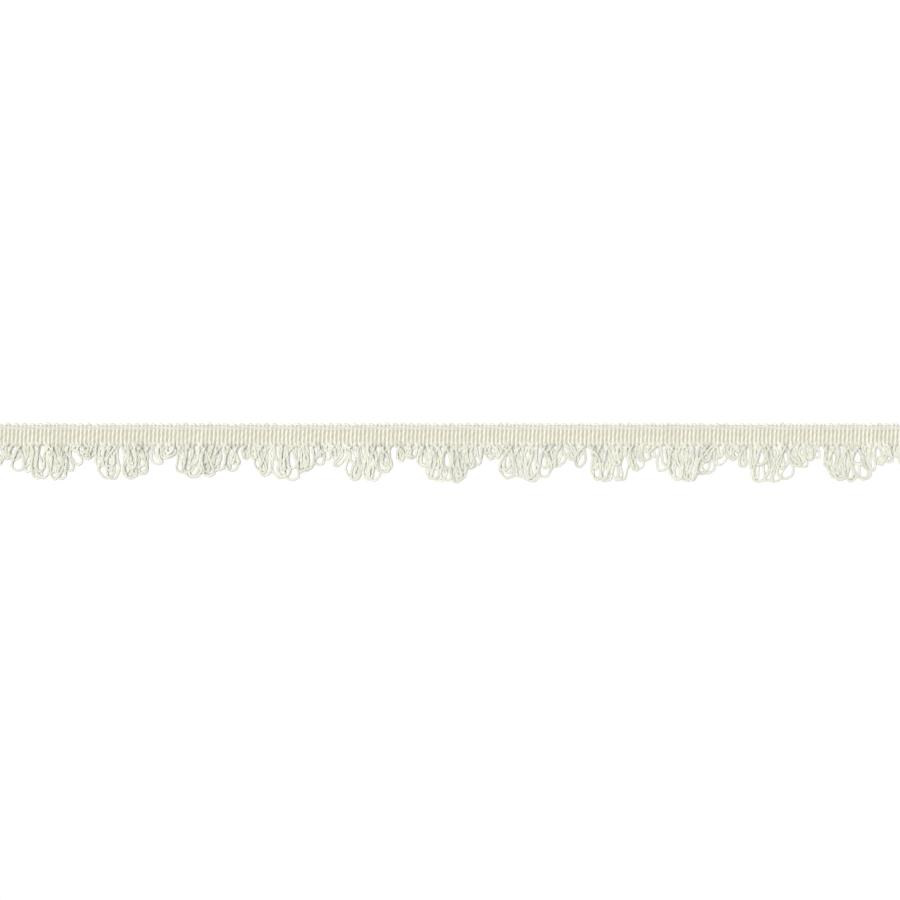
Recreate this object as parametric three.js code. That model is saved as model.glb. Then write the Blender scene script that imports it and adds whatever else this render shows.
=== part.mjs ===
// Fan edge trim, a cut length of woven trim in cream viscose yarn, lying on its back.
//
// The heading is a narrow woven band. The same thick yarn runs across it as ribs, turns round in a picot
// at the upper edge, and turns round again in a loop under the lower edge. The loops' lengths rise and
// fall, so that each run of ten makes a fan. The loops of a fan are fused at their roots into a footing.
//
// Millimetres, +Z up. +X runs along the trim and +Y towards the picots, so the fans point to -Y. The
// heights are measured from the lower edge of the heading until the whole group is centred at the end.

import * as THREE from 'three';

const INCH = 25.4;

// The weave: twelve ribs to the inch, one loop for two ribs, ten loops to a fan.
const RIB_PITCH = INCH / 12;
const LOOP_PITCH = 2 * RIB_PITCH;
const LOOPS_PER_FAN = 10;
const FAN_PITCH = LOOPS_PER_FAN * LOOP_PITCH;
const END_LOOPS = 2;

// The heading's rows, as distances up from its lower edge, and its thicknesses.
const RIB_FOOT = 1.05;
const RIB_HEAD = 7.6;
const PICOT_NOTCH = 8.6;
const PICOT_TOP = 10.45;
const PICOT_UNEVENNESS = 0.35;
const RIB_LEAN = Math.tan(THREE.MathUtils.degToRad(3.5));
const GROUND_THICKNESS = 1.0;
const SELVEDGE_THICKNESS = 1.3;
const RIB_THICKNESS = 1.9;

// The footing that holds a fan's roots, and the clearance that parts one piece from the next.
const PIECE_GAP = 0.3;
const FOOTING_DEPTH = 1.6;
const FOOTING_THICKNESS = 1.6;
const ROOT_DEPTH = PIECE_GAP + FOOTING_DEPTH;
const ROOT_HEIGHT = 0.3;
const ROOT_FALL = 1.5;
const ROOT_STUB = 0.1;

// A strand has three sides, with the flat one down. Strands whose centre lines pass each other in plan
// closer than STRAND_SPACING lie one over the other, the upper one up to LAYER_HEIGHT higher.
const STRAND_WIDTH = 1.15;
const STRAND_HEIGHT = 0.8;
const STRAND_SPACING = 1.5;
const LAYER_HEIGHT = 1.15;
const STRAND_STEPS = 14;
const STEEPEST_SLOPE = 0.6;
const FINE_SPACING = 0.3;
const SMALLEST_LIFT = 0.01;

// How far below the heading each of a fan's ten loops reaches, from left to right, where no lobe is near.
const LOOP_REACHES = [9.0, 13.6, 17.8, 19.6, 20.0, 20.0, 18.6, 15.6, 12.6, 9.8];

// A fan's loops gather in a few lobes. For each fan: how far to the right of the fan's middle its lobes
// are, how far below the heading they reach, and which two of its loops stand widest open.
const FANS = [
  { middles: [], bottoms: [], open: [] },
  { middles: [-12.0, -3.6, 4.3, 15.8], bottoms: [16.4, 19.7, 20.3, 12.5], open: [7, 1] },
  { middles: [-8.1, 0.8, 8.2, 18.7], bottoms: [20.4, 19.9, 18.1, 9.3], open: [2, 6] },
  { middles: [-11.1, -5.0, -0.6, 6.2], bottoms: [19.2, 19.4, 18.8, 15.5], open: [5, 7] },
  { middles: [-13.0, -5.1, 1.5, 8.0], bottoms: [18.8, 19.7, 20.7, 16.2], open: [5, 8] },
  { middles: [-9.1, 0.8, 7.0, 16.1], bottoms: [20.7, 21.1, 16.5, 10.9], open: [2, 7] },
  { middles: [-8.4, -3.0, 3.2, 9.5, 17.9], bottoms: [21.4, 20.8, 21.6, 14.5, 10.0], open: [3, 6] },
  { middles: [-11.4, 1.6, 5.0, 12.3], bottoms: [20.2, 21.2, 19.6, 14.1], open: [1, 8] },
  { middles: [-7.5, -3.0, 4.0, 14.6, 19.8], bottoms: [21.1, 21.4, 20.9, 14.8, 10.3], open: [3, 8] },
  { middles: [-14.6, -9.5, -1.0, 7.4], bottoms: [16.6, 20.8, 21.3, 17.4], open: [4, 7] },
  { middles: [-6.6, 0.8, 7.6, 13.0], bottoms: [21.5, 21.8, 20.4, 13.8], open: [3, 6] },
  { middles: [-5.9, -1.2, 5.0, 17.8], bottoms: [20.4, 21.2, 20.6, 11.6], open: [2, 5] },
  { middles: [], bottoms: [], open: [] },
];

// A loop closer to a lobe than the catch, which is a share of the lobe's depth, belongs to it, and the
// other loops splay out. A deep lobe draws its loops' tips closer together than a shallow one does. A loop
// whose own reach is well short of the lobe's depth hangs midway between the two and a droop lower. The
// further off the lobe its root is, the less deep and wide it is.
const LOBE_CATCH = 0.23;
const LOBE_GATHER = 10.5;
const LOBE_DROOP = 0.9;
const LOBE_NESTING = { depth: 0.15, width: 0.7 };
const SPLAY = 0.06;

// Widths of a loop over its legs, its greatest width as a share of its depth, and how much loops differ
// from one another.
const LOOP_WIDTH = { closed: 3.6, usual: 6.0, lobe: 7.4, open: 8.2 };
const WIDTH_PER_DEPTH = 0.47;
const UNEVENNESS = { reach: 0.5, width: 0.8, lean: 1.6, sway: 1.4 };

// The shape of a loop: the smaller the taper, the sooner its legs part, and the greater the roundness, the
// blunter its tip. The greater the power, the nearer to the tip a loop leans.
const TAPER = { least: 1.5, most: 2.1 };
const TIP_ROUNDNESS = 3.4;
const LEAN_POWER = 1.6;

const RIB_COUNT = 2 * (LOOPS_PER_FAN * (FANS.length - 2) + 2 * END_LOOPS);
const LENGTH = RIB_COUNT * RIB_PITCH;

// A number from 0 to 1 that looks random and is the same on every run.
function scatter(seed) {
  const wave = Math.sin(seed * 12.9898) * 43758.5453;
  return wave - Math.floor(wave);
}

// Walls over rings of points, which all have the same number of points, on that many of their sides. The
// vertices count up from first.
function wallIndices(rings, first, sides) {
  const count = rings[0].length;
  const indices = [];
  for (let ring = 0; ring < rings.length - 1; ring += 1) {
    for (let side = 0; side < sides; side += 1) {
      const a = first + ring * count + side;
      const b = first + ring * count + (side + 1) % count;
      indices.push(a, b, b + count, a, b + count, a + count);
    }
  }
  return indices;
}

// The two flat ends of such a body, given the vertices that its first and its last ring start with.
function endIndices(count, first, last) {
  const indices = [];
  for (let corner = 1; corner < count - 1; corner += 1) {
    indices.push(first, first + corner + 1, first + corner);
    indices.push(last, last + corner, last + corner + 1);
  }
  return indices;
}

function geometryFrom(points, indices) {
  const positions = points.flatMap((point) => [point.x, point.y, point.z]);
  const geometry = new THREE.BufferGeometry();
  geometry.setAttribute('position', new THREE.Float32BufferAttribute(positions, 3));
  geometry.setIndex(indices);
  return geometry;
}

// The heading: one cross-section for each crest and each groove of the ribs. The upper edge rises and
// falls once for two ribs, in the picots where the yarn turns round, and no two picots are quite alike.
function headingGeometry() {
  const columnsPerPicot = 4;
  const crownShare = [1, 0.72, 0, 0.72];
  const rings = [];
  for (let column = 0; column <= 2 * RIB_COUNT; column += 1) {
    const crest = column % 2 === 1;
    const ribTop = crest ? RIB_THICKNESS : GROUND_THICKNESS;
    const picot = Math.round(column / columnsPerPicot);
    const share = crownShare[column % columnsPerPicot];
    const picotTop = PICOT_TOP - PICOT_UNEVENNESS * scatter(picot);
    const edge = THREE.MathUtils.lerp(PICOT_NOTCH, picotTop, share);
    const profile = [
      [0, 0],
      [edge, 0],
      [edge, SELVEDGE_THICKNESS],
      [RIB_HEAD, ribTop],
      [RIB_FOOT, ribTop],
      [0, SELVEDGE_THICKNESS],
    ];
    const foot = -LENGTH / 2 + column * RIB_PITCH / 2;
    rings.push(profile.map(([up, height]) => (
      new THREE.Vector3(foot + RIB_LEAN * (up - PICOT_TOP / 2), up, height)
    )));
  }
  const points = rings.flat();
  const corners = rings[0].length;
  const walls = wallIndices(rings, 0, corners);
  const ends = endIndices(corners, 0, points.length - corners);
  return geometryFrom(points, [...walls, ...ends]);
}

// A number from -1 to 1 of the same kind.
function spread(seed) {
  return 2 * scatter(seed) - 1;
}

// How far a loop's legs have swollen apart at a share of the way down, before it is scaled to its width.
function swelling(drop, taper) {
  return drop ** taper * Math.sqrt(1 - drop ** TIP_ROUNDNESS);
}

// The sizes of one loop. The fans at the cut ends have only the two loops next to their neighbour.
function loopSizes(fan, index) {
  const seed = LOOPS_PER_FAN * fan + index;
  const { middles, bottoms, open } = FANS[fan];
  const fromMiddle = (index + 0.5 - LOOPS_PER_FAN / 2) * LOOP_PITCH;
  const distances = middles.map((middle) => Math.abs(fromMiddle - middle));
  const away = Math.min(...distances);
  const lobe = distances.indexOf(away);
  let tip = fromMiddle * (1 + SPLAY);
  let bottom = LOOP_REACHES[index] - UNEVENNESS.reach * scatter(seed + 0.1);
  let width = THREE.MathUtils.lerp(LOOP_WIDTH.closed, LOOP_WIDTH.usual, scatter(seed + 0.2));
  if (away < LOBE_CATCH * bottoms[lobe]) {
    const lowest = bottoms[lobe];
    tip = THREE.MathUtils.lerp(middles[lobe], fromMiddle, Math.min(1, LOBE_GATHER / lowest));
    bottom = Math.min(lowest, (lowest + LOOP_REACHES[index]) / 2 + LOBE_DROOP);
    bottom -= LOBE_NESTING.depth * away + UNEVENNESS.reach * scatter(seed + 0.1);
    width = LOOP_WIDTH.lobe - LOBE_NESTING.width * away + UNEVENNESS.width * spread(seed + 0.2);
  }
  if (open.includes(index)) {
    width = Math.max(width, LOOP_WIDTH.open);
  }
  width = Math.min(width, WIDTH_PER_DEPTH * bottom);
  const taper = THREE.MathUtils.lerp(TAPER.least, TAPER.most, scatter(seed + 0.75));
  const widest = (2 * taper / (2 * taper + TIP_ROUNDNESS)) ** (1 / TIP_ROUNDNESS);
  return {
    fan,
    root: (fan - FANS.length / 2) * FAN_PITCH + (index + 0.5) * LOOP_PITCH,
    reach: bottom - STRAND_WIDTH / 2 - ROOT_DEPTH,
    taper,
    swell: (width - STRAND_WIDTH) / 2 / swelling(widest, taper),
    lean: tip - fromMiddle + UNEVENNESS.lean * spread(seed + 0.3),
    sway: UNEVENNESS.sway * spread(seed + 0.4),
    order: scatter(seed + 0.5),
  };
}

// The underside of a leg: a little above the floor where it leaves the footing, and soon down on it.
function rootHeight(depth) {
  return Math.max(0, ROOT_HEIGHT * (1 - (depth - ROOT_DEPTH) / ROOT_FALL));
}

// A loop's centre line in plan: down the left leg, round the tip and up the right leg. The legs leave the
// footing one rib apart and swell into a drop with a round end.
function loopLine(loop) {
  const points = [];
  for (let step = 0; step <= STRAND_STEPS; step += 1) {
    const angle = 2 * Math.PI * step / STRAND_STEPS;
    const drop = (1 - Math.cos(angle)) / 2;
    const side = Math.sign(Math.PI - angle);
    const leg = RIB_PITCH / 2 * Math.cos(angle / 2) + side * loop.swell * swelling(drop, loop.taper);
    const sway = loop.sway * Math.sin(Math.PI * drop) ** 2;
    const x = loop.root - leg + loop.lean * drop ** LEAN_POWER + sway;
    const depth = ROOT_DEPTH + loop.reach * drop;
    points.push(new THREE.Vector3(x, -depth, rootHeight(depth)));
  }
  return points;
}

// Places every few tenths of a millimetre along a line: the step they are in, and their share of its way.
function finePlaces(line) {
  const places = [];
  for (let step = 0; step < line.length - 1; step += 1) {
    const pieces = Math.ceil(line[step].distanceTo(line[step + 1]) / FINE_SPACING);
    for (let piece = 0; piece <= pieces; piece += 1) {
      places.push({ step, share: piece / pieces });
    }
  }
  return places;
}

function pointAt(line, { step, share }) {
  return line[step].clone().lerp(line[step + 1], share);
}

// How far a point has to rise to clear the strands that are there already.
function liftNeeded(point, laid) {
  let clear = point.z;
  for (const other of laid) {
    const apart = Math.hypot(point.x - other.x, point.y - other.y);
    if (apart < STRAND_SPACING) {
      const overlap = Math.sqrt(1 - (apart / STRAND_SPACING) ** 2);
      clear = Math.max(clear, other.z + LAYER_HEIGHT * overlap);
    }
  }
  return clear - point.z;
}

// Lays one loop down. It lies on the floor and is lifted over each strand that is there already, by the two
// ends of the step in question, and on either side it comes down again no steeper than a yarn does.
function layDown(line, laid) {
  const places = finePlaces(line);
  let highestLift = Infinity;
  while (highestLift > SMALLEST_LIFT) {
    highestLift = 0;
    for (const place of places) {
      const lift = liftNeeded(pointAt(line, place), laid);
      const rest = 1 - place.share;
      const leverage = place.share ** 2 + rest ** 2;
      line[place.step].z += lift * rest / leverage;
      line[place.step + 1].z += lift * place.share / leverage;
      highestLift = Math.max(highestLift, lift);
    }
    for (const point of line.slice(1, -1)) {
      for (const other of line) {
        const fall = STEEPEST_SLOPE * Math.hypot(point.x - other.x, point.y - other.y);
        point.z = Math.max(point.z, other.z - fall);
      }
    }
  }
}

// Every loop of the trim, laid down one after another in an order that mixes the neighbours.
function laidLoops() {
  const lastFan = FANS.length - 1;
  const loops = FANS.flatMap((row, fan) => {
    const first = fan === 0 ? LOOPS_PER_FAN - END_LOOPS : 0;
    const past = fan === lastFan ? END_LOOPS : LOOPS_PER_FAN;
    return Array.from({ length: past - first }, (unused, index) => loopSizes(fan, first + index));
  });
  const laid = [];
  for (const loop of [...loops].sort((one, other) => one.order - other.order)) {
    loop.line = loopLine(loop);
    const near = laid.filter((point) => Math.abs(point.x - loop.root) < FAN_PITCH / 3);
    layDown(loop.line, near);
    laid.push(...finePlaces(loop.line).map((place) => pointAt(loop.line, place)));
  }
  return loops;
}

// A strand's sections along a line: three corners, level underneath, and as wide in a bend as on the
// straight. The first and the last lie in the front of the footing, which both legs leave squarely, and
// all of the others are clear of it.
function strandRings(line) {
  const last = line.length - 1;
  return line.map((point, step) => {
    const inward = new THREE.Vector2(0, -1);
    const outward = new THREE.Vector2(0, 1);
    if (step > 0) {
      inward.set(point.x - line[step - 1].x, point.y - line[step - 1].y).normalize();
    }
    if (step < last) {
      outward.set(line[step + 1].x - point.x, line[step + 1].y - point.y).normalize();
    }
    const along = inward.clone().add(outward).normalize();
    let nearest = -ROOT_DEPTH - ROOT_STUB;
    if (step === 0 || step === last) {
      along.set(0, step === 0 ? -1 : 1);
      nearest = -ROOT_DEPTH;
    }
    const halfWidth = STRAND_WIDTH / 2 / along.dot(inward);
    const across = new THREE.Vector3(along.y, -along.x, 0).multiplyScalar(halfWidth);
    const top = new THREE.Vector3(point.x, point.y, point.z + STRAND_HEIGHT);
    const corners = [point.clone().add(across), point.clone().sub(across), top];
    corners.forEach((corner) => {
      corner.y = Math.min(corner.y, nearest);
    });
    return corners;
  });
}

// The front of the footing over one strand: a wall with a three-cornered hole for each of its legs. It
// goes from the left cross-section to the right one, and the holes are the strand's first and last rings.
function frontIndices(left, right, leftLeg, rightLeg) {
  const [bottomLeft, topLeft] = [left, left + 3];
  const [bottomRight, topRight] = [right, right + 3];
  const [outerLeft, innerLeft, crownLeft] = [leftLeg, leftLeg + 1, leftLeg + 2];
  const [outerRight, innerRight, crownRight] = [rightLeg, rightLeg + 1, rightLeg + 2];
  return [
    [bottomLeft, innerLeft, outerLeft],
    [bottomLeft, innerRight, innerLeft],
    [bottomLeft, bottomRight, innerRight],
    [bottomRight, outerRight, innerRight],
    [bottomRight, topRight, outerRight],
    [topRight, crownRight, outerRight],
    [topRight, topLeft, crownRight],
    [topLeft, crownLeft, crownRight],
    [crownLeft, innerLeft, crownRight],
    [innerLeft, innerRight, crownRight],
    [topLeft, outerLeft, crownLeft],
    [topLeft, bottomLeft, outerLeft],
  ].flat();
}

// One fan, a single body: the footing is a bar with a cross-section on either side of each loop, and its
// front opens into the legs of the strands.
function fanGeometry(loops) {
  const sections = [];
  for (let place = 0; place <= loops.length; place += 1) {
    const inset = place === 0 ? PIECE_GAP / 2 : 0;
    const outset = place === loops.length ? PIECE_GAP / 2 : 0;
    const x = loops[0].root + (place - 0.5) * LOOP_PITCH + inset - outset;
    sections.push([
      new THREE.Vector3(x, -ROOT_DEPTH, 0),
      new THREE.Vector3(x, -PIECE_GAP, 0),
      new THREE.Vector3(x, -PIECE_GAP, FOOTING_THICKNESS),
      new THREE.Vector3(x, -ROOT_DEPTH, FOOTING_THICKNESS),
    ]);
  }
  const points = sections.flat();
  const corners = sections[0].length;
  const indices = wallIndices(sections, 0, corners - 1);
  indices.push(...endIndices(corners, 0, points.length - corners));
  loops.forEach((loop, place) => {
    const rings = strandRings(loop.line);
    const sides = rings[0].length;
    const first = points.length;
    points.push(...rings.flat());
    indices.push(...wallIndices(rings, first, sides));
    indices.push(...frontIndices(place * corners, (place + 1) * corners, first, points.length - sides));
  });
  return geometryFrom(points, indices);
}

const headingYarn = new THREE.MeshStandardMaterial({ color: 0xeee9d6, roughness: 0.6, metalness: 0 });
const loopYarn = new THREE.MeshStandardMaterial({ color: 0xf1eddc, roughness: 0.5, metalness: 0 });

const trim = new THREE.Group();
trim.name = 'fan_edge_trim';

const heading = new THREE.Mesh(headingGeometry(), headingYarn);
heading.name = 'heading';
trim.add(heading);

const loops = laidLoops();
FANS.forEach((row, fan) => {
  const mesh = new THREE.Mesh(fanGeometry(loops.filter((loop) => loop.fan === fan)), loopYarn);
  mesh.name = `fan_${String(fan).padStart(2, '0')}`;
  trim.add(mesh);
});

// The origin is under the middle of the trim, halfway between the highest picot and the lowest loop.
trim.updateMatrixWorld(true);
const box = new THREE.Box3().setFromObject(trim);
trim.position.y = -(box.min.y + box.max.y) / 2;

export default trim;
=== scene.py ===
# %% [markdown]
# # A fan edge trim in cream yarn
# This trim is woven in one piece. A thick, soft, three-ply yarn runs up and down across a narrow heading,
# where fine warp threads bind it into ribs. It turns round in a small picot above the heading, and in a
# loop of two strands below it. The loops' lengths rise and fall, so each run of ten makes a fan.
#
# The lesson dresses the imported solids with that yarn: first the paths, then the plies round each path,
# then the fine threads, the finishes, and at last the light and the camera. Sizes are in millimetres,
# and a path is turned into metres when its mesh is made.

# %% The frame
import math

import bpy
import numpy as np
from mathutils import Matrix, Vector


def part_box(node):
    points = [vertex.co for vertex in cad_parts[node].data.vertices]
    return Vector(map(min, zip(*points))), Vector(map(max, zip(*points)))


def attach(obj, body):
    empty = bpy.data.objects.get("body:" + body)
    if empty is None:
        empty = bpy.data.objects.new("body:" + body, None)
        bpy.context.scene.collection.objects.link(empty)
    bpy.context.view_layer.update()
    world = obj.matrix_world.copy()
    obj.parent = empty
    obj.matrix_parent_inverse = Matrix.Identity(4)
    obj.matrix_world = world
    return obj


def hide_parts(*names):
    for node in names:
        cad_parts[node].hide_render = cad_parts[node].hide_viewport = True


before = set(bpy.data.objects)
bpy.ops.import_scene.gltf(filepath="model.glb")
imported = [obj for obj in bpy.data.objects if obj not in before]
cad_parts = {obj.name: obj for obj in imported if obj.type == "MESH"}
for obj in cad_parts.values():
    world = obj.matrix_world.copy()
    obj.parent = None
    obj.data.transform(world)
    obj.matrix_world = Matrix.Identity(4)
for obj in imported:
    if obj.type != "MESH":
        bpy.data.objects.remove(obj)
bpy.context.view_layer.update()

MM = 0.001

# %% [markdown]
# ## The weave's own numbers
# A trim like this is set by counting: ribs to the inch, loops to a fan. The same few numbers place
# every rib, picot and loop, so no path is drawn by hand. The fans themselves are uneven, so a short table
# has a row for each of them. The numbers are those that the solids have.

# %% Counts, rows and the uneven fans
RIB_PITCH = 25.4 / 12
LOOP_PITCH = 2 * RIB_PITCH
LOOPS_PER_FAN = 10
FAN_PITCH = LOOPS_PER_FAN * LOOP_PITCH
END_LOOPS = 2
PICOT_TOP = 10.45
PICOT_UNEVENNESS = 0.5
RIB_LEAN = math.tan(math.radians(3.5))

# How far below the heading each of a fan's loops reaches, from left to right, where no lobe is near.
LOOP_REACHES = [9.0, 13.6, 17.8, 19.6, 20.0, 20.0, 18.6, 15.6, 12.6, 9.8]

# Each fan hangs in a few lobes: how far right of its middle each lobe is, and how deep it reaches.
# The last column has the loops that stand widest open.
FANS = [
    ([], ()),
    ([(-12.0, 16.4), (-3.6, 19.7), (4.3, 20.3), (15.8, 12.5)], (7, 1)),
    ([(-8.1, 20.4), (0.8, 19.9), (8.2, 18.1), (18.7, 9.3)], (2, 6)),
    ([(-11.1, 19.2), (-5.0, 19.4), (-0.6, 18.8), (6.2, 15.5)], (5, 7)),
    ([(-13.0, 18.8), (-5.1, 19.7), (1.5, 20.7), (8.0, 16.2)], (5, 8)),
    ([(-9.1, 20.7), (0.8, 21.1), (7.0, 16.5), (16.1, 10.9)], (2, 7)),
    ([(-8.4, 21.4), (-3.0, 20.8), (3.2, 21.6), (9.5, 14.5), (17.9, 10.0)], (3, 6)),
    ([(-11.4, 20.2), (1.6, 21.2), (5.0, 19.6), (12.3, 14.1)], (1, 8)),
    ([(-7.5, 21.1), (-3.0, 21.4), (4.0, 20.9), (14.6, 14.8), (19.8, 10.3)], (3, 8)),
    ([(-14.6, 16.6), (-9.5, 20.8), (-1.0, 21.3), (7.4, 17.4)], (4, 7)),
    ([(-6.6, 21.5), (0.8, 21.8), (7.6, 20.4), (13.0, 13.8)], (3, 6)),
    ([(-5.9, 20.4), (-1.2, 21.2), (5.0, 20.6), (17.8, 11.6)], (2, 5)),
    ([], ()),
]
RIB_COUNT = 2 * (LOOPS_PER_FAN * (len(FANS) - 2) + 2 * END_LOOPS)
LENGTH = RIB_COUNT * RIB_PITCH

# The paths are drawn from the heading's lower edge, which lies here in the frame.
HEADING_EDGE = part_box("heading")[0][1] / MM
print(RIB_COUNT, "ribs,", round(LENGTH, 1), "mm long, heading's lower edge at", round(HEADING_EDGE, 2))


# %% [markdown]
# ## Small differences
# No two loops of a real trim are alike. The differences come from a fixed rule and not from a random
# generator: the decimals of a large, fast wave look random, and they are the same on every run, whatever
# is added to the script before them. Each use adds its own small number to the loop's or rib's seed, so
# that a wide loop isn't always a long one too.

# %% Small differences that are the same on every run
WAVE_RATE, WAVE_SIZE = 12.9898, 43758.5453


def scatter(seed):
    """A number from 0 to 1 that looks random and never changes."""
    wave = math.sin(seed * WAVE_RATE) * WAVE_SIZE
    return wave - math.floor(wave)


def spread(seed):
    """The same from -1 to 1."""
    return 2 * scatter(seed) - 1


def between(low, high, share):
    return low + (high - low) * share


def rib_middle(rib, up):
    """Where a rib's middle is along the trim. The ribs lean a little to the right."""
    return (rib + 0.5) * RIB_PITCH - LENGTH / 2 + RIB_LEAN * (up - PICOT_TOP / 2)


print("the first rib stands", round(-rib_middle(0, 0.0), 2), "mm left of the middle")


# %% [markdown]
# ## Even steps along a path
# The yarn has plies that wind round its path, so the path's points must be evenly spaced, or the twist
# would look stretched in one place and squeezed in another. Each path is first drawn from its own
# formula, as finely as the formula likes, and then cut into equal steps.

# %% Cutting a path into equal steps
def even_steps(path, step):
    path = np.asarray(path, float)
    run = np.concatenate([[0.0], np.cumsum(np.linalg.norm(np.diff(path, axis=0), axis=1))])
    places = np.linspace(0.0, run[-1], max(2, round(run[-1] / step)) + 1)
    return np.column_stack([np.interp(places, run, column) for column in path.T])


# %% [markdown]
# ## The loops' sizes
# A fan isn't an even row of loops. They hang together in a few lobes, and a couple of them stand wide
# open. A loop whose root is near a lobe leans towards it, is about as deep and is wide. A deep lobe
# gathers its loops' tips more than a shallow one, and a loop at the side of its fan hangs midway between
# the lobe's depth and its own reach, and a droop lower. The other loops splay out a little. A short loop
# is never wide, because its yarn is too short for that.

# %% One loop's sizes
LOOP_WIDTHS = {"closed": 4.6, "usual": 7.6, "lobe": 8.8, "open": 9.6}
WIDTH_PER_DEPTH = 0.52
LOBE_CATCH = 0.23
LOBE_GATHER = 10.5
LOBE_DROOP = 0.9
LOBE_NESTING = {"depth": 0.15, "width": 0.7}
SPLAY = 0.06
UNEVENNESS = {"reach": 0.6, "lobe reach": 0.5, "lobe width": 0.8, "lean": 1.9, "sway": 1.7}
TAPERS = (0.6, 1.2)
CROSSED_SHARE = 0.5
LEG_TOP = 0.6
YARN_RADIUS = 0.78


def loop_sizes(fan, index):
    seed = LOOPS_PER_FAN * fan + index
    left_rib = 2 * (seed - LOOPS_PER_FAN + END_LOOPS)
    lobes, wide_open = FANS[fan]
    from_middle = (index + 0.5 - LOOPS_PER_FAN / 2) * LOOP_PITCH
    tip = from_middle * (1 + SPLAY)
    depth = LOOP_REACHES[index] - UNEVENNESS["reach"] * scatter(seed + 0.1)
    width = between(LOOP_WIDTHS["closed"], LOOP_WIDTHS["usual"], scatter(seed + 0.2))
    for middle, lowest in lobes:
        away = abs(from_middle - middle)
        nearest = min(abs(from_middle - other) for other, _ in lobes)
        if away == nearest and away < LOBE_CATCH * lowest:
            tip = between(middle, from_middle, min(1.0, LOBE_GATHER / lowest))
            depth = min(lowest, (lowest + LOOP_REACHES[index]) / 2 + LOBE_DROOP)
            depth = depth - LOBE_NESTING["depth"] * away - UNEVENNESS["lobe reach"] * scatter(seed + 0.1)
            width = LOOP_WIDTHS["lobe"] - LOBE_NESTING["width"] * away
            width = width + UNEVENNESS["lobe width"] * spread(seed + 0.2)
    if index in wide_open:
        width = max(width, LOOP_WIDTHS["open"])
    width = min(width, WIDTH_PER_DEPTH * depth)
    return {
        "fan": fan,
        "seed": seed,
        "ribs": (left_rib, left_rib + 1),
        "root": (fan - (len(FANS) - 1) / 2) * FAN_PITCH + from_middle,
        "reach": depth - YARN_RADIUS - LEG_TOP,
        "width": width,
        "taper": between(*TAPERS, scatter(seed + 0.75)),
        "lean": tip - from_middle + UNEVENNESS["lean"] * spread(seed + 0.3),
        "sway": UNEVENNESS["sway"] * spread(seed + 0.4),
        "order": scatter(seed + 0.5),
        "crossed": index in wide_open or scatter(seed + 0.7) < CROSSED_SHARE,
    }


sample = loop_sizes(len(FANS) // 2, LOOPS_PER_FAN // 2)
print("a middle loop reaches", round(sample["reach"], 1), "mm and is", round(sample["width"], 1), "mm wide")

# %% [markdown]
# ## Two strands for a loop
# The yarn is doubled before it is woven, so two strands hang from each pair of ribs. They part as they
# fall: one is the outline of the loop, and the other is shorter and narrower and lies inside it, with a
# lean and a sway of its own.

# %% The outer and the inner strand
STRANDS_APART = 0.25
INNER_REACH = {"most": 0.95, "less": 0.45, "power": 1.6}
INNER_WIDTH = {"less": 1.8, "unevenness": 2.4, "least": 3.0}
INNER_STRAY = {"lean": 2.4, "sway": 1.2, "order": 0.1}


def strand_pair(loop):
    seed = loop["seed"]
    outer = dict(loop, apart=STRANDS_APART)
    inner = dict(loop, apart=-STRANDS_APART)
    shorter = INNER_REACH["less"] * scatter(seed + 0.15) ** INNER_REACH["power"]
    narrower = INNER_WIDTH["unevenness"] * scatter(seed + 0.25)
    inner["reach"] = loop["reach"] * (INNER_REACH["most"] - shorter)
    inner["width"] = max(loop["width"] - INNER_WIDTH["less"] - narrower, INNER_WIDTH["least"])
    inner["lean"] = loop["lean"] + INNER_STRAY["lean"] * spread(seed + 0.35)
    inner["sway"] = loop["sway"] + INNER_STRAY["sway"] * spread(seed + 0.45)
    inner["order"] = loop["order"] + INNER_STRAY["order"] * spread(seed + 0.55)
    inner["crossed"] = scatter(seed + 0.65) < CROSSED_SHARE
    return [outer, inner]


print("reaches of its strands:", [round(strand["reach"], 1) for strand in strand_pair(sample)])

# %% [markdown]
# ## A strand in plan
# A loop of soft yarn hangs as a drop. One cosine takes its path down the left leg and up the right one. At
# the heading the legs stand one rib apart and bow out round a small hollow. Further down they swell, by a
# power of the way down that keeps them narrow above, times a root that closes them round the tip. In about
# half of the strands the legs cross under the heading, so the drop is closed above. A strand leans and
# sways more the further down it is, and soft yarn never lies quite straight, so two waves bend it.

# %% The path of a strand in plan
PLAN_STEPS = 90
LEG_START = 0.55
TIP_ROUNDNESS = 3.4
LEAN_POWER = 1.6
ROOT_HOLLOW = 0.75
ROOT_FADE = 3.0
CALM_POWER = 0.7
WAVE_ACROSS = {"size": 0.3, "rate": 0.9, "start": 40}
WAVE_DOWN = {"size": 0.2, "rate": 0.75, "start": 70}


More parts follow.
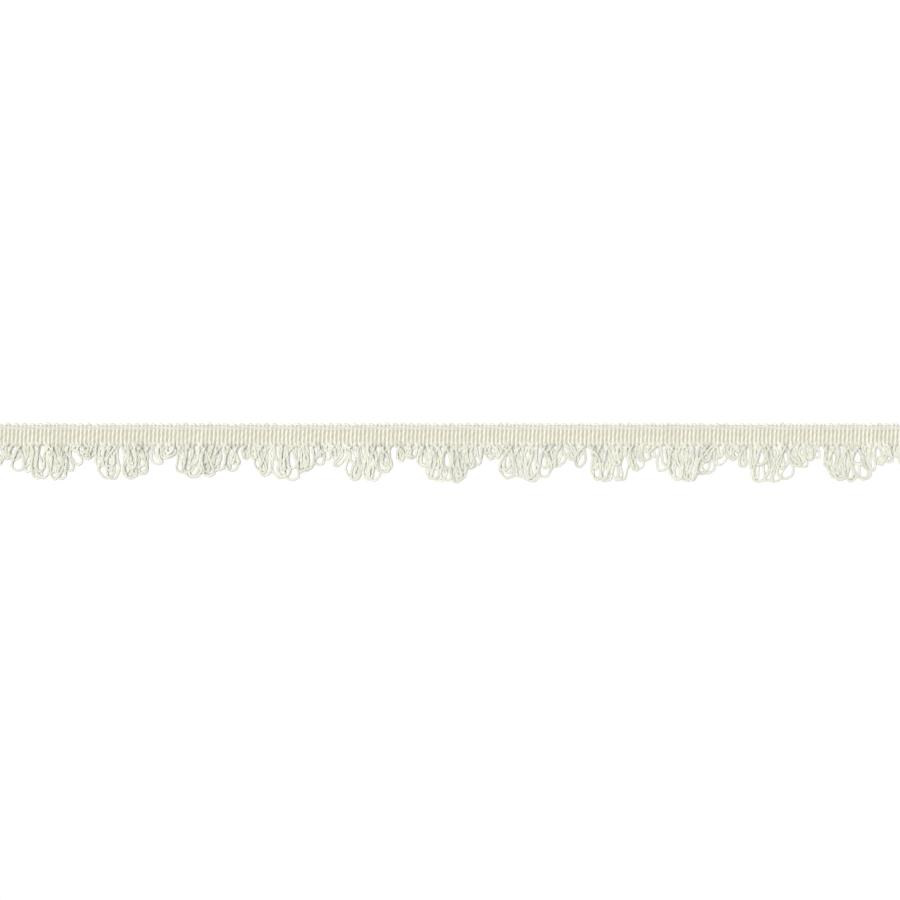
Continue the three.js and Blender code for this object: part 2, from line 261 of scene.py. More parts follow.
def strand_plan(strand):
    angle = np.linspace(0.0, 2 * math.pi, PLAN_STEPS + 1)
    drop = (1 - np.cos(angle)) / 2
    depth = strand["reach"] * drop
    swelling = drop ** strand["taper"] * np.sqrt(1 - drop ** TIP_ROUNDNESS)
    swelling = swelling * (strand["width"] / 2 - YARN_RADIUS) / swelling.max()
    swelling = -swelling if strand["crossed"] else swelling
    hollow = ROOT_HOLLOW * depth * np.exp(1 - depth)
    hollow = hollow + (RIB_PITCH / 2 + strand["apart"]) * np.exp(-depth / ROOT_FADE)
    leg = np.sign(math.pi - angle) * (hollow * np.abs(np.cos(angle / 2)) + swelling)
    lean = strand["lean"] * drop ** LEAN_POWER + strand["sway"] * np.sin(math.pi * drop) ** 2
    path = np.column_stack([strand["root"] - leg + lean, -LEG_TOP - depth])
    along = np.linspace(0.0, 2 * strand["reach"], PLAN_STEPS + 1)
    calm = np.sin(angle / 2) ** CALM_POWER
    for axis, wave in enumerate([WAVE_ACROSS, WAVE_DOWN]):
        bend = np.sin(along * wave["rate"] + wave["start"] * strand["order"])
        path[:, axis] += wave["size"] * calm * bend
    first, last = [[rib_middle(rib, LEG_START), LEG_START] for rib in strand["ribs"]]
    return np.vstack([[first], path, [last]])


print("points of a strand in plan:", len(strand_plan(strand_pair(sample)[0])))


# %% [markdown]
# ## The loops laid down one after another
# The trim lies on a table, so each strand rests on the table and on those that were there before it. A
# cloth or rod simulation could find that, but a simple rule does it too: a point has to be a yarn's
# thickness above what it crosses, it is drawn towards the middle of its neighbours, and its weight pulls
# it down a little at every step. The yarn is soft, so it gives at a crossing.

# %% Letting a strand come to rest
CROSSING = 1.0
HEADING_MIDDLE = 1.0
FALL_START = 0.4
FALL_LENGTH = 4.0
YARN_RESTS = 0.84
WEIGHT = 0.02
ROUNDS = 300


def resting_height(y):
    """The yarn's middle: level with the heading's at the root, and soon down on the table."""
    fall = np.clip((FALL_START - y) / FALL_LENGTH, 0.0, 1.0)
    return HEADING_MIDDLE + (YARN_RESTS - HEADING_MIDDLE) * fall * fall * (3 - 2 * fall)


def crossing_height(points, others, heights):
    """How high a yarn's middle has to be at each point, to clear the other yarns that are near it."""
    apart = np.linalg.norm(points[:, None, :] - others[None, :, :], axis=2)
    over = heights[None, :] + np.sqrt(np.clip(CROSSING ** 2 - apart ** 2, 0.0, None))
    over[apart >= CROSSING] = 0.0
    return over.max(axis=1)


def settle(low):
    """A limp yarn over places that it can't go below."""
    height = low.copy()
    for _ in range(ROUNDS):
        middle = (height[:-2] + height[2:]) / 2 - WEIGHT
        height[1:-1] = np.maximum(low[1:-1], middle)
    return height


print("a strand rests with its middle", YARN_RESTS, "mm above the table")

# %% Laying all the strands down
PATH_STEP = 0.5
OWN_TIP = 6
FREE_START, FREE_LENGTH = 0.6, 2.4
NEAR = FAN_PITCH / 3


def lay_down(plan, laid):
    low = resting_height(plan[:, 1])
    if len(laid):
        # Where a leg leaves the heading, its neighbours press it aside and not up.
        free = np.clip((-plan[:, 1] - FREE_START) / FREE_LENGTH, 0.0, 1.0)
        over = crossing_height(plan, laid[:, :2], laid[:, 2])
        low = low + np.clip(over - low, 0.0, None) * free
    height = settle(low)
    # Where the two legs cross, the second lies over the first.
    tip = len(plan) // 2
    first, second = slice(0, tip - OWN_TIP), slice(tip + OWN_TIP, len(plan))
    low[second] = np.maximum(low[second], crossing_height(plan[second], plan[first], height[first]))
    return np.column_stack([plan, settle(low)])


def laid_strands():
    last_fan = len(FANS) - 1
    strands = []
    for fan in range(len(FANS)):
        first = LOOPS_PER_FAN - END_LOOPS if fan == 0 else 0
        past = END_LOOPS if fan == last_fan else LOOPS_PER_FAN
        for index in range(first, past):
            strands += strand_pair(loop_sizes(fan, index))
    laid = np.empty((0, 3))
    for strand in sorted(strands, key=lambda one: one["order"]):
        plan = even_steps(strand_plan(strand), PATH_STEP)
        near = laid[np.abs(laid[:, 0] - strand["root"]) < NEAR]
        strand["path"] = lay_down(plan, near)
        laid = np.vstack([laid, strand["path"]])
    return strands


strands = laid_strands()
highest = max(strand["path"][:, 2].max() for strand in strands)
print(len(strands), "strands, the highest middle of a yarn at", round(highest, 2), "mm")

# %% [markdown]
# ## The ribs and picots
# Above each loop's legs the same yarn runs up as a rib, turns round in a picot and runs down as the next
# rib. A picot joins the ribs that a loop doesn't, so the whole weft is one long meander. Here it is cut
# into one path for each picot. The yarn is pulled slim where it turns, and each picot slants a little to
# the right. At the cut ends only half of a picot is left.

# %% The path of two ribs and their picot
RIB_START = -0.3
RIB_HEAD = 7.9
RIB_RADIUS = 0.7
RIB_BEND = 0.07
RIB_STEPS = 12
WEFT_STEP = 0.55
PICOT_SLIMNESS = 0.78
PICOT_SKEW = 0.25
PICOT_SPREAD = 0.3
PICOT_SINK = 0.15
PICOT_POWERS = {"rise": 0.8, "side": 0.85}
PICOT_STEPS = 14


def rib_path(rib, seed):
    """One rib from its foot to its head. A path's last column is how thick the yarn is there."""
    ups = np.linspace(RIB_START, RIB_HEAD, RIB_STEPS)
    bend = RIB_BEND * spread(seed) * np.sin(math.pi * (ups - RIB_START) / (RIB_HEAD - RIB_START))
    height, thickness = np.full(RIB_STEPS, HEADING_MIDDLE), np.ones(RIB_STEPS)
    return np.column_stack([rib_middle(rib, ups) + bend, ups, height, thickness])


def picot_arch(picot, start, stop):
    """The turn over the heads of ribs 2 * picot - 1 and 2 * picot, from one share of it to another."""
    crown = PICOT_TOP - PICOT_UNEVENNESS * scatter(picot) - RIB_RADIUS * PICOT_SLIMNESS
    turn = math.pi * np.linspace(start, stop, PICOT_STEPS)
    rise = np.clip(np.sin(turn), 0.0, 1.0) ** PICOT_POWERS["rise"]
    ups = between(RIB_HEAD, crown, rise)
    middle = rib_middle(2 * picot - 0.5, ups) + PICOT_SKEW * rise * rise
    side = np.sign(np.cos(turn)) * np.abs(np.cos(turn)) ** PICOT_POWERS["side"]
    across = middle - (RIB_PITCH / 2 + PICOT_SPREAD * rise) * side
    thickness = between(1.0, PICOT_SLIMNESS, rise)
    return np.column_stack([across, ups, HEADING_MIDDLE - PICOT_SINK * rise, thickness])


def weft_paths():
    paths = []
    last = RIB_COUNT // 2
    for picot in range(last + 1):
        rising = rib_path(2 * picot - 1, picot + 0.1)[:-1]
        falling = rib_path(2 * picot, picot + 0.2)[:-1][::-1]
        parts = [rising, picot_arch(picot, 0.0, 1.0), falling]
        if picot == 0:
            parts = [picot_arch(picot, 0.5, 1.0), falling]
        if picot == last:
            parts = [rising, picot_arch(picot, 0.0, 0.5)]
        paths.append(even_steps(np.vstack(parts), WEFT_STEP))
    return paths


ribs = weft_paths()
print(len(ribs), "rib and picot paths, each", round(len(ribs[1]) * WEFT_STEP, 1), "mm long")

# %% [markdown]
# ## The fine threads
# Thin warp threads run along the trim and pass over one rib and under the next, and neighbouring threads
# do the opposite, as in any plain weave. Nine of them cross the open field of ribs. Stouter threads bind
# the ribs' ends: four lie side by side on the foot, where they hold the loops, and six on the head, where
# they hold the picots. They stay on the face and sink a little between the ribs.

# %% The paths of the threads
THREAD_RADIUS, FOOT_RADIUS, HEAD_RADIUS = 0.085, 0.13, 0.175
FIELD_ROWS = np.linspace(1.4, 6.2, 9)
FOOT_ROWS = [-0.3, 0.06, 0.42, 0.78]
HEAD_ROWS = [6.8, 7.15, 7.5, 7.85, 8.2, 8.55]
FOOT_HEIGHTS = (0.7, 1.6)
HEAD_HEIGHTS = (1.32, 1.72)
STEPS_PER_RIB = 4

# Small sideways waves of a thread: their size, how fast they go from rib to rib, and from row to row.
FIELD_WAVES = [(0.03, 0.71, 2.3), (0.02, 1.93, 1.0)]
BINDER_WAVES = [(0.04, 0.83, 3.1)]

past_ribs = np.linspace(0.0, RIB_COUNT, RIB_COUNT * STEPS_PER_RIB + 1)


def thread_path(up, height, waves, row):
    wander = sum(size * np.sin(past_ribs * rate + row * shift) for size, rate, shift in waves)
    return np.column_stack([rib_middle(past_ribs - 0.5, up), up + wander, height])


def field_path(up, row):
    """A thread that swings from the back to the face once for two ribs."""
    swing = np.sin(math.pi * past_ribs) * (1 if row % 2 else -1)
    return thread_path(up, HEADING_MIDDLE + RIB_RADIUS * swing, FIELD_WAVES, row)


def binder_path(up, heights):
    height = between(*heights, np.abs(np.sin(math.pi * past_ribs)))
    return thread_path(up, height, BINDER_WAVES, up)


field_threads = [field_path(up, row) for row, up in enumerate(FIELD_ROWS)]
foot_threads = [binder_path(up, FOOT_HEIGHTS) for up in FOOT_ROWS]
head_threads = [binder_path(up, HEAD_HEIGHTS) for up in HEAD_ROWS]
print(len(field_threads), "field,", len(foot_threads), "foot and", len(head_threads), "head threads")

# %% [markdown]
# ## Plies round a path
# A yarn's surface comes from its plies. Modelling them one at a time would be slow and hard to change, so
# a node tree makes them all: it copies each path once for each ply, moves the copies out along the
# curve's own normal, turning with the length, and sweeps a small circle along them. Every path starts its
# twist at another angle, and the plies lie a little looser in one place than in another. Every point
# keeps how far along the yarn it is and where it is round its ply, for the filaments in the finish.
# The tree is built in small parts: first the short ways to add nodes, then the offset of a ply, then the
# place among the filaments, and then the tree that joins them.


# %% Short ways to add nodes and links
def add_node(tree, kind, inputs=None, **settings):
    """Adds a node, sets it, and links or sets its inputs by name or number."""
    node = tree.nodes.new(kind)
    for name, value in settings.items():
        setattr(node, name, value)
    for key, value in (inputs or {}).items():
        if isinstance(value, bpy.types.NodeSocket):
            tree.links.new(value, node.inputs[key])
        else:
            node.inputs[key].default_value = value
    return node


def maths(tree, operation, *values):
    """A Math node in a shader or geometry tree, given by what comes out of it."""
    return add_node(tree, "ShaderNodeMath", dict(enumerate(values)), operation=operation).outputs[0]


def vectors(tree, operation, inputs):
    """A Vector Math node, given by what comes out of it."""
    return add_node(tree, "ShaderNodeVectorMath", inputs, operation=operation).outputs[0]


def add_sockets(tree, into, out_of):
    """Gives a node tree its named inputs and outputs, with the inputs' values."""
    for name, kind, value in into:
        socket = tree.interface.new_socket(name=name, in_out="INPUT", socket_type=kind)
        if value is not None:
            socket.default_value = value
    for name, kind in out_of:
        tree.interface.new_socket(name=name, in_out="OUTPUT", socket_type=kind)


def store(tree, geometry, name, value, kind="FLOAT"):
    """Keeps a value at every point, under a name that later nodes and materials can read."""
    return add_node(
        tree,
        "GeometryNodeStoreNamedAttribute",
        {"Geometry": geometry, "Name": name, "Value": value},
        data_type=kind,
        domain="POINT",
    ).outputs["Geometry"]


def stored(tree, name):
    """Reads a number that was kept under a name."""
    return add_node(
        tree, "GeometryNodeInputNamedAttribute", {"Name": name}, data_type="FLOAT"
    ).outputs["Attribute"]


# %% How far a ply lies from its path
TWIST_STARTS = 7.0
SLACK = {"Scale": 330.0, "Detail": 1.0}
SLACK_BETWEEN_PLIES = 9.0


def ply_offset(tree, given, share, along):
    """Out along the curve's normal, turning with the length. The share sets the plies evenly apart."""
    turns = maths(tree, "ADD", share, maths(tree, "DIVIDE", along, given["Twist Pitch"]))
    turns = maths(tree, "ADD", turns, maths(tree, "MULTIPLY", stored(tree, "tone"), TWIST_STARTS))
    angle = maths(tree, "MULTIPLY", turns, 2 * math.pi)
    slack = add_node(
        tree,
        "ShaderNodeTexNoise",
        {**SLACK, "W": maths(tree, "MULTIPLY", share, SLACK_BETWEEN_PLIES)},
        noise_dimensions="4D",
    ).outputs["Fac"]
    swing = maths(tree, "MULTIPLY", maths(tree, "SUBTRACT", slack, 0.5), given["Looseness"])
    radius = maths(tree, "MULTIPLY", given["Winding Radius"], maths(tree, "ADD", 1.0, swing))
    radius = maths(tree, "MULTIPLY", radius, add_node(tree, "GeometryNodeInputRadius").outputs["Radius"])
    normal = add_node(tree, "GeometryNodeInputNormal").outputs[0]
    tangent = add_node(tree, "GeometryNodeInputTangent").outputs[0]
    side = vectors(tree, "CROSS_PRODUCT", {0: tangent, 1: normal})
    out = maths(tree, "MULTIPLY", radius, maths(tree, "COSINE", angle))
    up = maths(tree, "MULTIPLY", radius, maths(tree, "SINE", angle))
    moved_out = vectors(tree, "SCALE", {0: normal, "Scale": out})
    moved_up = vectors(tree, "SCALE", {0: side, "Scale": up})
    return vectors(tree, "ADD", {0: moved_out, 1: moved_up})


# %% Where a point is among the filaments
FILAMENT_LAY = 500.0


def filament_place(tree):
    """A point's place round its ply, on a circle that turns with the length, and along the yarn."""
    reached = stored(tree, "along")
    lay = maths(tree, "MULTIPLY", stored(tree, "around"), 2 * math.pi)
    lay = maths(tree, "ADD", lay, maths(tree, "MULTIPLY", reached, FILAMENT_LAY))
    place = {
        "X": maths(tree, "COSINE", lay),
        "Y": maths(tree, "SINE", lay),
        "Z": maths(tree, "MULTIPLY", reached, 1 / MM),
    }
    return add_node(tree, "ShaderNodeCombineXYZ", place).outputs["Vector"]


# %% The tree that winds plies round paths
YARN_INPUTS = [
    ("Paths", "NodeSocketGeometry", None),
    ("Plies", "NodeSocketInt", 3),
    ("Ply Radius", "NodeSocketFloat", 0.37 * MM),
    ("Winding Radius", "NodeSocketFloat", 0.38 * MM),
    ("Twist Pitch", "NodeSocketFloat", 8 * MM),
    ("Looseness", "NodeSocketFloat", 0.2),
    ("Sides", "NodeSocketInt", 7),
    ("Finish", "NodeSocketMaterial", None),
]


def plied_yarn_tree():
    tree = bpy.data.node_groups.new("plied_yarn", "GeometryNodeTree")
    add_sockets(tree, YARN_INPUTS, [("Yarn", "NodeSocketGeometry")])
    given = add_node(tree, "NodeGroupInput").outputs
    curve = add_node(tree, "GeometryNodeMeshToCurve", {"Mesh": given["Paths"]}).outputs["Curve"]
    curve = add_node(tree, "GeometryNodeSetCurveNormal", {"Curve": curve}, mode="Z_UP").outputs["Curve"]
    copies = add_node(
        tree,
        "GeometryNodeDuplicateElements",
        {"Geometry": curve, "Amount": given["Plies"]},
        domain="SPLINE",
    ).outputs
    along = add_node(tree, "GeometryNodeSplineParameter").outputs["Length"]
    plies = store(tree, copies["Geometry"], "along", along)
    share = maths(tree, "DIVIDE", copies["Duplicate Index"], given["Plies"])
    offset = ply_offset(tree, given, share, along)
    plies = add_node(
        tree, "GeometryNodeSetPosition", {"Geometry": plies, "Offset": offset}
    ).outputs["Geometry"]
    ring = add_node(
        tree,
        "GeometryNodeCurvePrimitiveCircle",
        {"Resolution": given["Sides"], "Radius": given["Ply Radius"]},
        mode="RADIUS",
    ).outputs["Curve"]
    ring = store(tree, ring, "around", add_node(tree, "GeometryNodeSplineParameter").outputs["Factor"])
    mesh = add_node(
        tree, "GeometryNodeCurveToMesh", {"Curve": plies, "Profile Curve": ring, "Fill Caps": True}
    ).outputs["Mesh"]
    mesh = store(tree, mesh, "filament", filament_place(tree), "FLOAT_VECTOR")
    for kind, inputs in [
        ("GeometryNodeSetShadeSmooth", {}),
        ("GeometryNodeRealizeInstances", {}),
        ("GeometryNodeSetMaterial", {"Material": given["Finish"]}),
    ]:
        mesh = add_node(tree, kind, {"Geometry": mesh, **inputs}).outputs["Geometry"]
    add_node(tree, "NodeGroupOutput", {"Yarn": mesh})
    return tree


plied_yarn = plied_yarn_tree()
print("the tree of the plies has", len(plied_yarn.nodes), "nodes")


# %% [markdown]
# ## From paths to yarn
# The paths become a mesh of bare edges, with a tone for each path that differs a little from the next,
# as dyed yarn does, and a thickness at each point, which a curve reads as its radius. The tree is put on
# as a modifier, its inputs are set, and the result is kept as a plain mesh, because that is what leaves
# Blender in the end.


# %% Making a piece of yarn
TONE_SEED = {"step": 3.7, "start": 0.9}


def path_object(name, paths):
    points, edges, tones, thicknesses = [], [], [], []
    for number, path in enumerate(paths):
        first = len(points)
        tone = scatter(len(path) + TONE_SEED["step"] * number + TONE_SEED["start"])
        points += [(x * MM, (y + HEADING_EDGE) * MM, z * MM) for x, y, z in path[:, :3]]
        thicknesses += list(path[:, 3]) if path.shape[1] > 3 else [1.0] * len(path)
        edges += [(first + step, first + step + 1) for step in range(len(path) - 1)]
        tones += [tone] * len(path)
    mesh = bpy.data.meshes.new(name)
    mesh.from_pydata(points, edges, [])
    mesh.attributes.new("tone", "FLOAT", "POINT").data.foreach_set("value", tones)
    mesh.attributes.new("radius", "FLOAT", "POINT").data.foreach_set("value", thicknesses)
    piece = bpy.data.objects.new(name, mesh)
    bpy.context.scene.collection.objects.link(piece)
    return piece


def input_names(tree):
    return {item.name: item.identifier for item in tree.interface.items_tree if item.in_out == "INPUT"}


def wind(name, paths, sizes):
    """Winds plies round the paths. The sizes have the names of the tree's inputs."""
    piece = path_object(name, paths)
    modifier = piece.modifiers.new("plies", "NODES")
    modifier.node_group = plied_yarn
    identifiers = input_names(plied_yarn)
    for size, value in sizes.items():
        modifier[identifiers[size]] = value
    view = piece.evaluated_get(bpy.context.evaluated_depsgraph_get())
    mesh = bpy.data.meshes.new_from_object(view)
    piece.modifiers.remove(modifier)
    piece.data = mesh
    mesh.name = name
    print(name, len(mesh.polygons), "faces")
    return piece


# %% [markdown]
# ## The finishes
# Viscose yarn is smooth and has a soft gloss, because its filaments are continuous and lie side by side.
# So its finish has three parts: fine lines along the ply, a slow change of tone from one length of yarn
# to the next, and a base colour. The first two are node groups that every thread shares.


# %% Lines of the filaments
LINE_NOISE = {"Scale": 1.0, "Detail": 3.0, "Roughness": 0.6}


def filament_group():
    group = bpy.data.node_groups.new("filament_lines", "ShaderNodeTree")
    add_sockets(
        group,
        [
            ("Fineness", "NodeSocketFloat", 5.0),
            ("Length", "NodeSocketFloat", 2.0),
        ],
        [("Lines", "NodeSocketFloat")],
    )
    given = add_node(group, "NodeGroupInput").outputs
    lay = add_node(group, "ShaderNodeAttribute", attribute_name="filament").outputs["Vector"]
    parts = add_node(group, "ShaderNodeSeparateXYZ", {"Vector": lay}).outputs
    stretched = add_node(
        group,
        "ShaderNodeCombineXYZ",
        {
            "X": maths(group, "MULTIPLY", parts["X"], given["Fineness"]),
            "Y": maths(group, "MULTIPLY", parts["Y"], given["Fineness"]),
            "Z": maths(group, "DIVIDE", parts["Z"], given["Length"]),
        },
    ).outputs["Vector"]
    lines = add_node(group, "ShaderNodeTexNoise", {"Vector": stretched, **LINE_NOISE}).outputs["Fac"]
    add_node(group, "NodeGroupOutput", {"Lines": lines})
    return group


# %% Tone from one length of yarn to the next
TONE_SHARES = {"strand": 0.35, "patch": 0.35, "lines": 0.45}
PATCH_DETAIL = 2.0

# A Mix node also has sockets for numbers and vectors. These are its sockets for colours.
MIX_SHARE, MIX_FIRST, MIX_SECOND, MIX_RESULT = 0, 6, 7, 2


def mixed_color(tree, share, first, second):
    sockets = {MIX_SHARE: share, MIX_FIRST: first, MIX_SECOND: second}
    return add_node(tree, "ShaderNodeMix", sockets, data_type="RGBA").outputs[MIX_RESULT]


def tone_group():
    group = bpy.data.node_groups.new("yarn_tone", "ShaderNodeTree")
    add_sockets(
        group,
        [
            ("Pale", "NodeSocketColor", (1, 1, 1, 1)),
            ("Deep", "NodeSocketColor", (1, 1, 1, 1)),
            ("Lines", "NodeSocketFloat", 0.5),
            ("Patches", "NodeSocketFloat", 90.0),
        ],
        [("Color", "NodeSocketColor")],
    )
    given = add_node(group, "NodeGroupInput").outputs
    tone = add_node(group, "ShaderNodeAttribute", attribute_name="tone").outputs["Fac"]
    place = add_node(group, "ShaderNodeTexCoord").outputs["Object"]
    patch = add_node(
        group,
        "ShaderNodeTexNoise",
        {"Vector": place, "Scale": given["Patches"], "Detail": PATCH_DETAIL},
    ).outputs["Fac"]
    depth = maths(group, "MULTIPLY", tone, TONE_SHARES["strand"])
    depth = maths(group, "ADD", depth, maths(group, "MULTIPLY", patch, TONE_SHARES["patch"]))
    depth = maths(group, "ADD", depth, maths(group, "MULTIPLY", given["Lines"], TONE_SHARES["lines"]))
    color = mixed_color(group, depth, given["Pale"], given["Deep"])
    add_node(group, "NodeGroupOutput", {"Color": color})
    return group


filament_lines = filament_group()
yarn_tone = tone_group()
print("shared finishes:", filament_lines.name, "and", yarn_tone.name)


# %% The yarns' materials
FILAMENT_RELIEF = {"Strength": 0.6, "Distance": 0.05 * MM}


def linear(red, green, blue):
    """A screen colour from 0 to 255 turned into light, with the numbers of the sRGB standard."""
    shares = [value / 255 for value in (red, green, blue)]
    light = [s / 12.92 if s <= 0.04045 else ((s + 0.055) / 1.055) ** 2.4 for s in shares]
    return (*light, 1.0)


def yarn_material(name, pale, deep, roughness, fineness):
    material = bpy.data.materials.new(name)
    material.use_nodes = True
    tree = material.node_tree
    shader = tree.nodes["Principled BSDF"]
    lines = add_node(tree, "ShaderNodeGroup", node_tree=filament_lines)
    lines.inputs["Fineness"].default_value = fineness
    tone = add_node(tree, "ShaderNodeGroup", node_tree=yarn_tone)
    tone.inputs["Pale"].default_value = linear(*pale)
    tone.inputs["Deep"].default_value = linear(*deep)
    tree.links.new(lines.outputs["Lines"], tone.inputs["Lines"])
    tree.links.new(tone.outputs["Color"], shader.inputs["Base Color"])
    bump = add_node(tree, "ShaderNodeBump", {**FILAMENT_RELIEF, "Height": lines.outputs["Lines"]})
    tree.links.new(bump.outputs["Normal"], shader.inputs["Normal"])
    shader.inputs["Roughness"].default_value = roughness
    return material


# Each finish's name, palest and deepest colour, roughness, and how fine its filaments are.
FINISHES = [
    ("loop_yarn", (247, 247, 236), (227, 226, 211), 0.32, 5.0),
    # The ribs' yarn is the loops' yarn made paler: a painted highlight on the ribs.
    ("rib_yarn_painted_highlight", (251, 251, 241), (231, 230, 217), 0.34, 5.0),
    ("warp_thread", (240, 237, 220), (220, 216, 196), 0.5, 3.0),
    ("foot_thread", (238, 236, 221), (217, 214, 196), 0.45, 3.0),
    ("head_thread", (248, 247, 235), (228, 226, 211), 0.4, 3.0),
]
finishes = {row[0]: yarn_material(*row) for row in FINISHES}
print("finishes:", ", ".join(finishes))

# %% [markdown]
# ## The yarn itself
# Each fan of loops is one piece, and takes the place of that fan's solid. The weft of the heading is one
# piece, and so are its fine threads.

# %% Fans, weft and threads
LOOP_YARN = {
    "Plies": 3,
    "Ply Radius": 0.39 * MM,
    "Winding Radius": 0.4 * MM,
    "Twist Pitch": 9 * MM,
    "Looseness": 0.5,
    "Sides": 5,
    "Finish": finishes["loop_yarn"],
}
WEFT_YARN = {
    "Plies": 3,
    "Ply Radius": 0.39 * MM,
    "Winding Radius": 0.32 * MM,
    "Twist Pitch": 12 * MM,
    "Looseness": 0.15,
    "Sides": 6,
    "Finish": finishes["rib_yarn_painted_highlight"],
}
THREAD = {"Plies": 1, "Winding Radius": 0.0, "Looseness": 0.0, "Sides": 5}

fans = []
for fan in range(len(FANS)):
    paths = [strand["path"] for strand in strands if strand["fan"] == fan]
    fans.append(wind(f"fan_{fan:02d}_loops", paths, LOOP_YARN))

weft = wind("heading_weft", ribs, WEFT_YARN)

threads = []
for name, paths, radius, finish in [
    ("heading_warp", field_threads, THREAD_RADIUS, "warp_thread"),
    ("foot_binder", foot_threads, FOOT_RADIUS, "foot_thread"),
    ("head_binder", head_threads, HEAD_RADIUS, "head_thread"),
]:
    sizes = {**THREAD, "Ply Radius": radius * MM, "Finish": finishes[finish]}
    threads.append(wind(name, paths, sizes))

# %% [markdown]
# ## The ground
# Between the ribs the warp closes into a ground, which is what shows in the narrow gaps. Its colours are
# much darker than the yarn's: painted shade for the crevices between the ribs. Its edges reach past the
# ribs' feet and heads, so that the dark cloth also puts painted shade in the hollows at the loops' roots
# and in the notches between the picots. It is a strip of cloth as long as the trim. It is a closed grid
# with an upper and a lower face, and both edges follow the lean of the ribs.

# %% The strip between the ribs
GROUND_LOW, GROUND_HIGH = 0.62, 1.02
# The strip reaches past the ribs' feet and heads, so its dark colour shows as painted shade in the hollows
# at the loops' roots and in the notches between the picots.
GROUND_EDGES = (-1.9, 9.1)
GROUND_ROWS = 10
GROUND_STEP = 0.5


def ground_strip():
    rows = np.linspace(*GROUND_EDGES, GROUND_ROWS)
    columns = np.arange(0, RIB_COUNT + GROUND_STEP, GROUND_STEP)
    points, faces = [], []
    for height in (GROUND_LOW, GROUND_HIGH):
        for column in columns:
            for up in rows:
                across = rib_middle(column - 0.5, up)
                points.append((across * MM, (up + HEADING_EDGE) * MM, height * MM))
    count, layer = GROUND_ROWS, len(columns) * GROUND_ROWS
    for column in range(len(columns) - 1):
        for row in range(count - 1):
            under = column * count + row
            faces.append((under, under + 1, under + count + 1, under + count))
            over = under + layer
            faces.append((over, over + count, over + count + 1, over + 1))
    # The rim runs once round the lower face, and walls stand on it.
    rim = [column * count for column in range(len(columns))]
    rim += [(len(columns) - 1) * count + row for row in range(1, count)]
    rim += [column * count + count - 1 for column in range(len(columns) - 2, -1, -1)]
    rim += [row for row in range(count - 2, 0, -1)]
    for here, there in zip(rim, rim[1:] + rim[:1]):
        faces.append((here, there, there + layer, here + layer))
    mesh = bpy.data.meshes.new("heading_ground")
    mesh.from_pydata(points, [], faces)
    piece = bpy.data.objects.new("heading_ground", mesh)
    bpy.context.scene.collection.objects.link(piece)
    return piece


# %% The finish of the ground
WEAVE_PITCH = 0.3 * MM
# Both colours are far darker than the yarn: painted shade for the gaps between the ribs, mixed in a real
# weave pattern.
GROUND_PAINTED_SHADE_DEEP, GROUND_PAINTED_SHADE_PALE = (180, 176, 154), (204, 200, 179)
GROUND_RELIEF = {"Strength": 0.7, "Distance": 0.06 * MM}
GROUND_ROUGHNESS = 0.8


def weave_group():
    """Two crossing waves, from 0 to 1."""
    group = bpy.data.node_groups.new("close_weave", "ShaderNodeTree")
    add_sockets(group, [("Thread Pitch", "NodeSocketFloat", WEAVE_PITCH)], [("Weave", "NodeSocketFloat")])
    given = add_node(group, "NodeGroupInput").outputs
    place = add_node(group, "ShaderNodeTexCoord").outputs["Object"]
    parts = add_node(group, "ShaderNodeSeparateXYZ", {"Vector": place}).outputs
    turn = maths(group, "DIVIDE", math.pi, given["Thread Pitch"])
    waves = [maths(group, "SINE", maths(group, "MULTIPLY", parts[axis], turn)) for axis in ("X", "Y")]
    weave = maths(group, "ADD", 0.5, maths(group, "MULTIPLY", 0.5, maths(group, "MULTIPLY", *waves)))
    add_node(group, "NodeGroupOutput", {"Weave": weave})
    return group


close_weave = weave_group()


def painted_shade_ground_material():
    material = bpy.data.materials.new("ground_cloth_painted_shade")
    material.use_nodes = True
    tree = material.node_tree
    shader = tree.nodes["Principled BSDF"]
    weave = add_node(tree, "ShaderNodeGroup", node_tree=close_weave).outputs["Weave"]
    # The weave mixes the two painted-shade colours.
    color = mixed_color(tree, weave, linear(*GROUND_PAINTED_SHADE_DEEP), linear(*GROUND_PAINTED_SHADE_PALE))
    bump = add_node(tree, "ShaderNodeBump", {**GROUND_RELIEF, "Height": weave})
    tree.links.new(color, shader.inputs["Base Color"])
    tree.links.new(bump.outputs["Normal"], shader.inputs["Normal"])
    shader.inputs["Roughness"].default_value = GROUND_ROUGHNESS
    return material


ground = ground_strip()
ground.data.materials.append(painted_shade_ground_material())
print("ground:", len(ground.data.polygons), "faces")

# %% [markdown]
# ## What each piece is
# The whole trim is one body, so every piece rides on it: the ground, cut 19 inches long, the weft, the
# threads and the fans. The ground stands for the heading's solid, and each fan of loops for its own.

# %% Declaring the pieces
for piece in [ground, weft, *threads, *fans]:
    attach(piece, "root")
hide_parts("heading")
for fan, piece in enumerate(fans):
    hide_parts(f"fan_{fan:02d}")

# %% [markdown]
# ## The table
# The trim lies on a plain white table that reaches far beyond the picture.

# %% Table top
TABLE_SIDE = 8.0
TABLE_WHITE = 0.9
TABLE_ROUGHNESS = 0.9


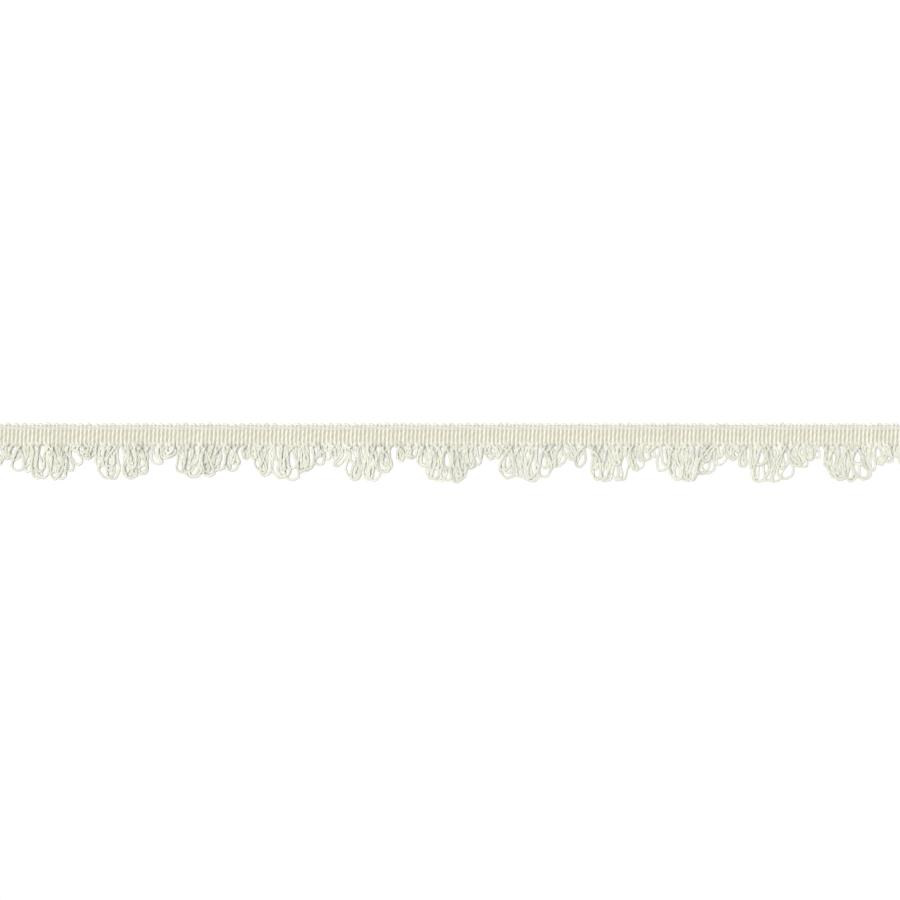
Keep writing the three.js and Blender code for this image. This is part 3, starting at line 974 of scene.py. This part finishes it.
def table_top():
    half = TABLE_SIDE / 2
    mesh = bpy.data.meshes.new("table")
    corners = [(-half, -half, 0), (half, -half, 0), (half, half, 0), (-half, half, 0)]
    mesh.from_pydata(corners, [], [(0, 1, 2, 3)])
    material = bpy.data.materials.new("table_white")
    material.use_nodes = True
    shader = material.node_tree.nodes["Principled BSDF"]
    shader.inputs["Base Color"].default_value = (TABLE_WHITE, TABLE_WHITE, TABLE_WHITE, 1.0)
    shader.inputs["Roughness"].default_value = TABLE_ROUGHNESS
    mesh.materials.append(material)
    table = bpy.data.objects.new("table", mesh)
    bpy.context.scene.collection.objects.link(table)
    return table


table_top()
print("table", TABLE_SIDE, "m wide")

# %% [markdown]
# ## Light and camera
# The photograph is taken from straight above in very soft light, so that the table is white and the only
# shadows are between the strands. A sun with a wide disc gives that light evenly over the whole length,
# and a dim grey surround lets the sides of the yarn fall off into grey.

# %% Soft light from above
SUN = {"strength": 2.95, "tilt": 9.0, "heading": -95.0, "width": 34.0}
SURROUND = 0.21


def soft_sun(name, strength, tilt, heading, width):
    light = bpy.data.lights.new(name, "SUN")
    light.energy = strength
    light.angle = math.radians(width)
    lamp = bpy.data.objects.new(name, light)
    lamp.rotation_euler = (math.radians(tilt), 0.0, math.radians(heading))
    bpy.context.scene.collection.objects.link(lamp)


soft_sun("overhead", **SUN)

world = bpy.data.worlds.new("studio")
world.use_nodes = True
world.node_tree.nodes["Background"].inputs["Color"].default_value = (1.0, 1.0, 1.0, 1.0)
world.node_tree.nodes["Background"].inputs["Strength"].default_value = SURROUND
bpy.context.scene.world = world
bpy.context.scene.view_settings.view_transform = "Standard"
print("a sun", SUN["width"], "degrees wide and a surround of", SURROUND)

# %% Camera above the middle
VIEW_WIDTH = 0.4725
VIEW_UP = 0.0015
LENS = 200.0
SIGHT = 20.0

camera_data = bpy.data.cameras.new("camera")
camera_data.lens = LENS
camera = bpy.data.objects.new("camera", camera_data)
camera.location = (0.0, VIEW_UP, VIEW_WIDTH * LENS / camera_data.sensor_width)
camera_data.clip_end = SIGHT
bpy.context.scene.collection.objects.link(camera)
bpy.context.scene.camera = camera
print("camera", round(camera.location.z, 2), "m above the table")
